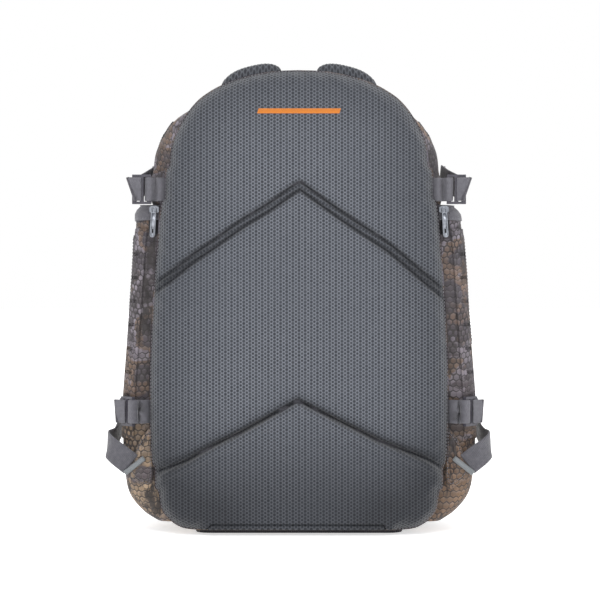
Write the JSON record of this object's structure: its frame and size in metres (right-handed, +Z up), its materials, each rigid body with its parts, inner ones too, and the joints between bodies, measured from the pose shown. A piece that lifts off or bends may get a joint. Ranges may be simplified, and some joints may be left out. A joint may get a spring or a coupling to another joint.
{
  "type": "tackle backpack",
  "caption": "Arch-topped tackle backpack with a padded mesh back, straps folded to the front, lid, tray door, side pockets and compression straps.",
  "frame": {"origin": "on the floor under the middle of the base", "axes": "+Z up, +Y towards the tray door, the padded back panel faces -Y"},
  "size_m": [0.413, 0.2213, 0.4895],
  "materials": {
    "camo_fabric": "matte printed woven polyester",
    "air_mesh": "matte three-dimensional mesh",
    "pad_foam": "matte closed-cell foam",
    "binding_tape": "matte bound edge",
    "zip_tape": "coated zip tape",
    "base_fabric": "coated heavy weave",
    "frame_plastic": "matte sheet",
    "lining_fabric": "plain weave",
    "grey_webbing": "ribbed webbing with a slight sheen",
    "buckle_plastic": "fine-textured moulding",
    "zip_metal": "satin"
  },
  "bodies": {
    "root": {"main_shell": "camo_fabric", "base_panel": "base_fabric", "frame_sheet": "frame_plastic", "mid_divider": "lining_fabric", "back_foam": "pad_foam", "back_mesh": "air_mesh", "panel_piping": "binding_tape", "shell_zip_tape": "zip_tape", "side_pocket_left": "camo_fabric", "side_cap_left": "grey_webbing", "compression_upper_left": "grey_webbing", "compression_lower_left": "grey_webbing", "tab_upper_left": "grey_webbing", "tab_lower_left": "grey_webbing", "wing_left": "camo_fabric", "strap_webbing_left": "grey_webbing", "side_pocket_right": "camo_fabric", "side_cap_right": "grey_webbing", "compression_upper_right": "grey_webbing", "compression_lower_right": "grey_webbing", "tab_upper_right": "grey_webbing", "tab_lower_right": "grey_webbing", "wing_right": "camo_fabric", "strap_webbing_right": "grey_webbing"},
    "lid": {"top_lid": "camo_fabric", "lid_zip_tape": "zip_tape"},
    "lid_slider": {"lid_zip_slider": "zip_metal"},
    "lid_pull": {"lid_zip_pull": "zip_metal"},
    "door": {"tray_door": "camo_fabric", "door_slot_panel": "camo_fabric"},
    "door_slider": {"door_zip_slider": "zip_metal"},
    "door_pull": {"door_zip_pull": "zip_metal"},
    "haul_loop": {"haul_loop": "grey_webbing"},
    "side_flap_left": {"side_flap_left": "camo_fabric", "side_slot_panel_left": "camo_fabric"},
    "side_slider_left": {"side_zip_left_slider": "zip_metal"},
    "side_pull_left": {"side_zip_left_pull": "zip_metal"},
    "shoulder_upper_left": {"shoulder_upper_left": "air_mesh"},
    "shoulder_lower_left": {"shoulder_lower_left": "air_mesh", "sternum_half_left": "buckle_plastic"},
    "strap_lock_left": {"strap_lock_left": "buckle_plastic", "strap_tail_left": "grey_webbing"},
    "lock_upper_left": {"lock_upper_left": "buckle_plastic", "tail_upper_left": "grey_webbing"},
    "lock_lower_left": {"lock_lower_left": "buckle_plastic", "tail_lower_left": "grey_webbing"},
    "side_flap_right": {"side_flap_right": "camo_fabric", "side_slot_panel_right": "camo_fabric"},
    "side_slider_right": {"side_zip_right_slider": "zip_metal"},
    "side_pull_right": {"side_zip_right_pull": "zip_metal"},
    "shoulder_upper_right": {"shoulder_upper_right": "air_mesh"},
    "shoulder_lower_right": {"shoulder_lower_right": "air_mesh", "sternum_half_right": "buckle_plastic"},
    "strap_lock_right": {"strap_lock_right": "buckle_plastic", "strap_tail_right": "grey_webbing"},
    "lock_upper_right": {"lock_upper_right": "buckle_plastic", "tail_upper_right": "grey_webbing"},
    "lock_lower_right": {"lock_lower_right": "buckle_plastic", "tail_lower_right": "grey_webbing"}
  },
  "joints": [
    {"name": "lid_hinge", "type": "hinge", "parent": "root", "child": "lid", "pos_m": [0, -0.066, 0.48], "axis": [1, 0, 0], "range_deg": [0, 95]},
    {"name": "lid_slider_slide", "type": "slide", "parent": "lid", "child": "lid_slider", "axis": [1, 0, 0], "range_m": [0, 0.05]},
    {"name": "lid_pull_hinge", "type": "hinge", "parent": "lid_slider", "child": "lid_pull", "pos_m": [-0.028, 0.1015, 0.25565], "axis": [1, 0, 0], "range_deg": [0, 90]},
    {"name": "door_hinge", "type": "hinge", "parent": "root", "child": "door", "pos_m": [0, 0.0955, 0.028], "axis": [-1, 0, 0], "range_deg": [0, 85]},
    {"name": "door_slider_slide", "type": "slide", "parent": "door", "child": "door_slider", "axis": [1, 0, 0], "range_m": [0, 0.12]},
    {"name": "door_pull_hinge", "type": "hinge", "parent": "door_slider", "child": "door_pull", "pos_m": [-0.06, 0.1004, 0.194], "axis": [1, 0, 0], "range_deg": [0, 70]},
    {"name": "haul_loop_hinge", "type": "hinge", "parent": "lid", "child": "haul_loop", "pos_m": [0, -0.05, 0.48271], "axis": [1, 0, 0], "range_deg": [0, 90]},
    {"name": "shoulder_upper_left_hinge", "type": "hinge", "parent": "lid", "child": "shoulder_upper_left", "pos_m": [-0.05, -0.048, 0.4885], "axis": [1, 0, 0], "range_deg": [0, 110]},
    {"name": "shoulder_lower_left_fold", "type": "hinge", "parent": "shoulder_upper_left", "child": "shoulder_lower_left", "pos_m": [-0.051, 0.00925, 0.4699], "axis": [1, 0, 0], "range_deg": [0, 120]},
    {"name": "strap_lock_left_tilt", "type": "hinge", "parent": "shoulder_lower_left", "child": "strap_lock_left", "pos_m": [-0.0807, 0.09812, 0.27349], "axis": [1, 0, 0], "range_deg": [0, 25]},
    {"name": "side_flap_left_hinge", "type": "hinge", "parent": "root", "child": "side_flap_left", "pos_m": [-0.1835, -0.026, 0.19], "axis": [0, -1, 0], "range_deg": [0, 60]},
    {"name": "side_slider_left_slide", "type": "slide", "parent": "root", "child": "side_slider_left", "axis": [-1, 0, 0], "range_m": [0, 0.012]},
    {"name": "side_pull_left_hinge", "type": "hinge", "parent": "side_slider_left", "child": "side_pull_left", "pos_m": [-0.153, -0.0826, 0.342], "axis": [-1, 0, 0], "range_deg": [0, 90]},
    {"name": "lock_upper_left_tilt", "type": "hinge", "parent": "root", "child": "lock_upper_left", "pos_m": [-0.1556, -0.0855, 0.363], "axis": [0, 0, 1], "range_deg": [0, 25]},
    {"name": "lock_lower_left_tilt", "type": "hinge", "parent": "root", "child": "lock_lower_left", "pos_m": [-0.1742, -0.0868, 0.129], "axis": [0, 0, 1], "range_deg": [0, 25]},
    {"name": "shoulder_upper_right_hinge", "type": "hinge", "parent": "lid", "child": "shoulder_upper_right", "pos_m": [0.05, -0.048, 0.4885], "axis": [1, 0, 0], "range_deg": [0, 110]},
    {"name": "shoulder_lower_right_fold", "type": "hinge", "parent": "shoulder_upper_right", "child": "shoulder_lower_right", "pos_m": [0.051, 0.00925, 0.4699], "axis": [1, 0, 0], "range_deg": [0, 120]},
    {"name": "strap_lock_right_tilt", "type": "hinge", "parent": "shoulder_lower_right", "child": "strap_lock_right", "pos_m": [0.0807, 0.09812, 0.27349], "axis": [1, 0, 0], "range_deg": [0, 25]},
    {"name": "side_flap_right_hinge", "type": "hinge", "parent": "root", "child": "side_flap_right", "pos_m": [0.1835, -0.026, 0.19], "axis": [0, 1, 0], "range_deg": [0, 60]},
    {"name": "side_slider_right_slide", "type": "slide", "parent": "root", "child": "side_slider_right", "axis": [1, 0, 0], "range_m": [0, 0.012]},
    {"name": "side_pull_right_hinge", "type": "hinge", "parent": "side_slider_right", "child": "side_pull_right", "pos_m": [0.153, -0.0826, 0.342], "axis": [-1, 0, 0], "range_deg": [0, 90]},
    {"name": "lock_upper_right_tilt", "type": "hinge", "parent": "root", "child": "lock_upper_right", "pos_m": [0.1556, -0.0855, 0.363], "axis": [0, 0, -1], "range_deg": [0, 25]},
    {"name": "lock_lower_right_tilt", "type": "hinge", "parent": "root", "child": "lock_lower_right", "pos_m": [0.1742, -0.0868, 0.129], "axis": [0, 0, -1], "range_deg": [0, 25]}
  ]
}
